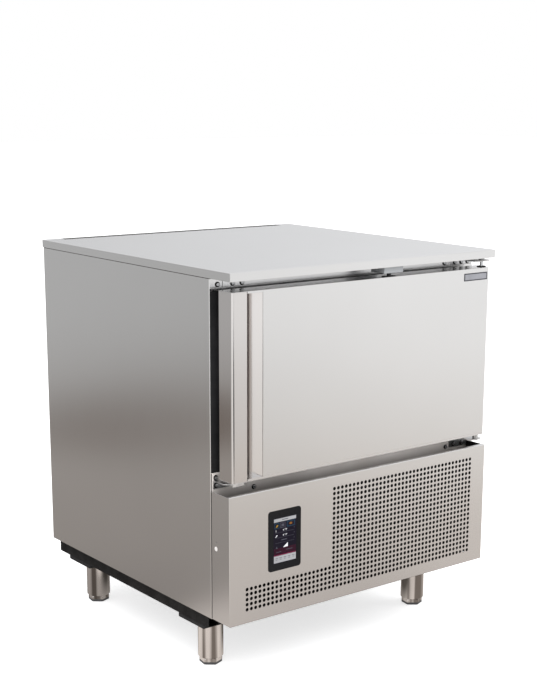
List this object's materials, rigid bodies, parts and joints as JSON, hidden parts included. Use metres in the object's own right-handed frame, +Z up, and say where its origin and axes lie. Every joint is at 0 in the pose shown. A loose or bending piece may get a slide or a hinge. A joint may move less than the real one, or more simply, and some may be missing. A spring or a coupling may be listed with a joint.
{
  "type": "blast chiller",
  "caption": "Under-counter stainless blast chiller on round legs, with a hinged insulated door, full-height handle groove, perforated lower front panel and touch display.",
  "frame": {"origin": "middle of the footprint, on the floor", "axes": "+Z up, the front with its door faces -Y, +X to the right seen from the front"},
  "size_m": [0.79, 0.82, 0.945],
  "materials": {
    "top_steel": "satin",
    "side_steel": "satin",
    "rail_steel": "satin",
    "door_steel": "satin",
    "panel_steel": "satin",
    "liner_steel": "satin",
    "fitting_steel": "satin",
    "screw_steel": "gloss",
    "leg_steel": "satin",
    "switch_grey": "satin",
    "black_paint": "satin",
    "black_plastic": "matte",
    "gloss_black": "gloss",
    "screen_glass": "gloss",
    "white_plastic": "gloss",
    "gasket_rubber": "matte",
    "foam": "matte",
    "core_board": "matte",
    "fin_aluminium": "satin",
    "copper": "satin",
    "brass_parts": "satin",
    "badge_metal": "satin"
  },
  "bodies": {
    "cabinet": {"worktop": "top_steel", "worktop_core": "core_board", "rear_vent_strip": "black_plastic", "side_panel_left": "side_steel", "side_panel_right": "side_steel", "rear_panel": "side_steel", "cabinet_insulation": "foam", "chamber_liner": "liner_steel", "top_rail": "rail_steel", "bottom_rail": "rail_steel", "breaker_frame": "black_plastic", "frame_screws": "screw_steel", "tray_runners": "liner_steel", "rack_posts": "liner_steel", "evaporator_coil": "fin_aluminium", "evaporator_fan_plate": "liner_steel", "fan_guards": "fitting_steel", "evaporator_fan_motors": "black_paint", "expansion_valve": "brass_parts", "condensate_tray": "liner_steel", "probe_socket": "black_plastic", "top_hinge_bracket": "fitting_steel", "bottom_hinge_bracket": "fitting_steel", "hinge_pins": "screw_steel", "spare_hinge_bracket": "fitting_steel", "door_switch": "switch_grey", "front_panel": "panel_steel", "front_panel_cheeks": "panel_steel", "cheek_plug": "white_plastic", "display_bezel": "gloss_black", "touch_screen": "screen_glass", "control_box": "rail_steel", "chassis": "black_paint", "leg_blocks": "black_plastic", "legs": "leg_steel", "compressor": "black_paint", "compressor_mounts": "gasket_rubber", "condenser_coil": "fin_aluminium", "condenser_cowl": "black_paint", "condenser_fan_motor": "black_paint", "liquid_receiver": "black_paint", "filter_drier": "copper", "refrigerant_pipes": "copper", "mains_inlet": "black_plastic"},
    "door": {"door_skin": "door_steel", "door_handle": "door_steel", "door_end_caps": "door_steel", "door_insulation": "foam", "door_liner": "liner_steel", "door_gasket": "gasket_rubber", "badge_plate": "badge_metal", "door_magnet": "black_plastic", "door_bushes": "black_plastic"},
    "evaporator_fan_left": {"evaporator_fan_left": "black_plastic"},
    "evaporator_fan_right": {"evaporator_fan_right": "black_plastic"},
    "condenser_fan": {"condenser_fan": "fin_aluminium"},
    "foot_front_left": {"foot_front_left": "leg_steel"},
    "foot_front_right": {"foot_front_right": "leg_steel"},
    "foot_rear_left": {"foot_rear_left": "leg_steel"},
    "foot_rear_right": {"foot_rear_right": "leg_steel"}
  },
  "joints": [
    {"name": "door_hinge", "type": "hinge", "parent": "cabinet", "child": "door", "pos_m": [0.375, -0.383, 0.6], "axis": [0, 0, 1], "range_deg": [0, 110]},
    {"name": "evaporator_fan_left_spin", "type": "hinge", "parent": "cabinet", "child": "evaporator_fan_left", "pos_m": [-0.15, 0.1352, 0.695], "axis": [0, -1, 0], "continuous": true},
    {"name": "evaporator_fan_right_spin", "type": "hinge", "parent": "cabinet", "child": "evaporator_fan_right", "pos_m": [0.15, 0.1352, 0.695], "axis": [0, -1, 0], "continuous": true},
    {"name": "condenser_fan_spin", "type": "hinge", "parent": "cabinet", "child": "condenser_fan", "pos_m": [0.1343, -0.2053, 0.297], "axis": [0, -1, 0], "continuous": true},
    {"name": "foot_front_left_thread", "type": "slide", "parent": "cabinet", "child": "foot_front_left", "axis": [0, 0, -1], "range_m": [0, 0.03]},
    {"name": "foot_front_right_thread", "type": "slide", "parent": "cabinet", "child": "foot_front_right", "axis": [0, 0, -1], "range_m": [0, 0.03]},
    {"name": "foot_rear_left_thread", "type": "slide", "parent": "cabinet", "child": "foot_rear_left", "axis": [0, 0, -1], "range_m": [0, 0.03]},
    {"name": "foot_rear_right_thread", "type": "slide", "parent": "cabinet", "child": "foot_rear_right", "axis": [0, 0, -1], "range_m": [0, 0.03]}
  ]
}
